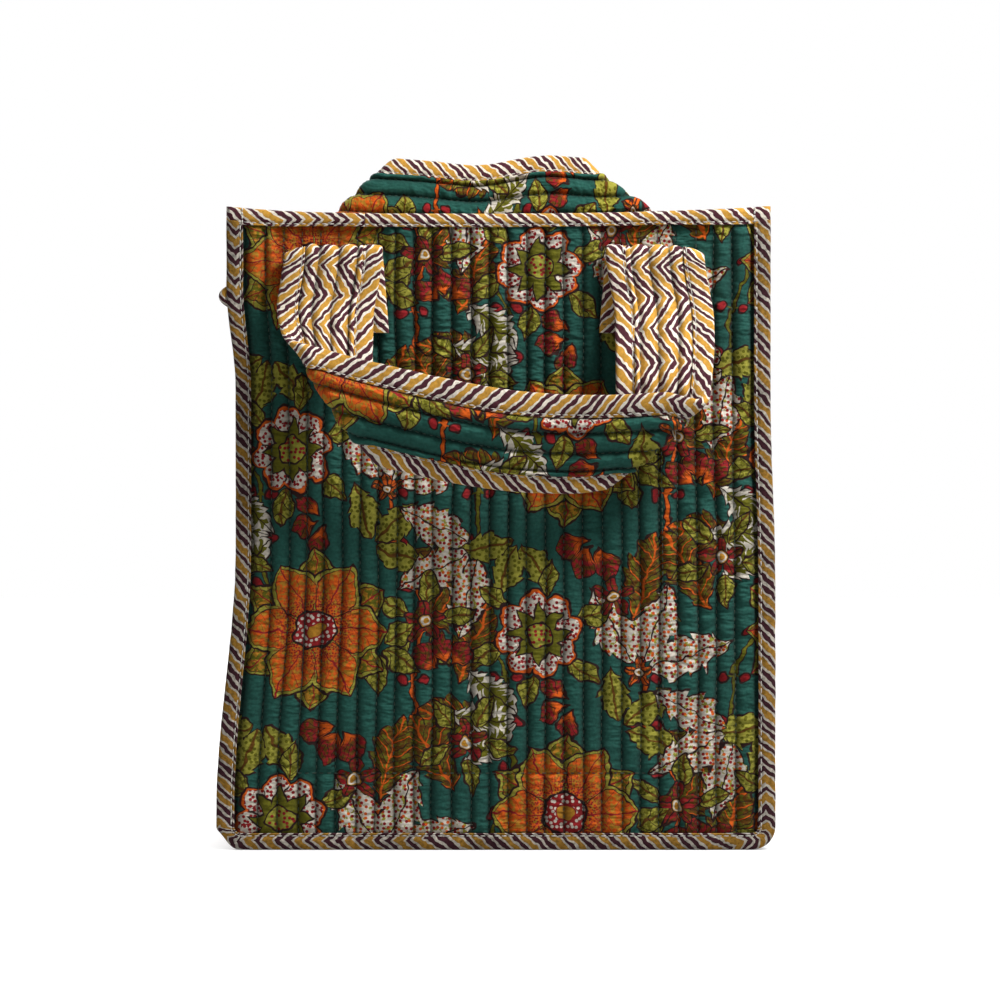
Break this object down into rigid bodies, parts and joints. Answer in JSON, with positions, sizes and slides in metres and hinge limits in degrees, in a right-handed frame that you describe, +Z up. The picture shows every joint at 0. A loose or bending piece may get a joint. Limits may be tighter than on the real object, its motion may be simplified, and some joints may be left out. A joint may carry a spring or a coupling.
{
  "type": "lunch bag",
  "caption": "Open-topped quilted cotton lunch bag with bound seams, an insulated lining, a slip pocket and two flat carrying handles.",
  "frame": {"origin": "on the floor under the middle of the bag, on the underside of the base", "axes": "+Z up, the front wall faces -Y, +X to the right seen from the front"},
  "size_m": [0.2588, 0.2189, 0.3475],
  "materials": {
    "quilted_cotton": "quilted printed cotton, floral on deep teal, matt",
    "striped_tape": "woven cotton tape printed with mustard, aubergine and cream zigzag stripes, matt",
    "lining_cloth": "coated wipe-clean lining cloth, satin",
    "pocket_cloth": "coated lining cloth, satin",
    "insulation_foam": "thin needled insulating wadding",
    "base_board": "plain plastic sheet, matt"
  },
  "bodies": {
    "bag": {"front_panel": "quilted_cotton", "back_panel": "quilted_cotton", "left_gusset": "quilted_cotton", "right_gusset": "quilted_cotton", "base_gusset": "quilted_cotton", "front_seam_binding": "striped_tape", "back_seam_binding": "striped_tape", "rim_binding": "striped_tape", "seam_tab": "striped_tape", "front_insulation": "insulation_foam", "front_lining": "lining_cloth", "back_insulation": "insulation_foam", "back_lining": "lining_cloth", "left_insulation": "insulation_foam", "left_lining": "lining_cloth", "right_insulation": "insulation_foam", "right_lining": "lining_cloth", "base_board": "base_board", "base_insulation": "insulation_foam", "base_lining": "lining_cloth", "inner_pocket": "pocket_cloth", "pocket_binding": "striped_tape", "front_handle_left_end": "quilted_cotton", "front_handle_right_end": "quilted_cotton", "back_handle_left_end": "quilted_cotton", "back_handle_right_end": "quilted_cotton"},
    "front_handle": {"front_handle_strap": "quilted_cotton", "front_handle_outer_binding": "striped_tape", "front_handle_inner_binding": "striped_tape"},
    "back_handle": {"back_handle_strap": "quilted_cotton", "back_handle_outer_binding": "striped_tape", "back_handle_inner_binding": "striped_tape"}
  },
  "joints": [
    {"name": "front_handle_swing", "type": "hinge", "parent": "bag", "child": "front_handle", "pos_m": [0, -0.06985, 0.2785], "axis": [-1, 0, 0], "range_deg": [0, 172]},
    {"name": "back_handle_swing", "type": "hinge", "parent": "bag", "child": "back_handle", "pos_m": [0, 0.06985, 0.2785], "axis": [1, 0, 0], "range_deg": [-112, 60]}
  ]
}
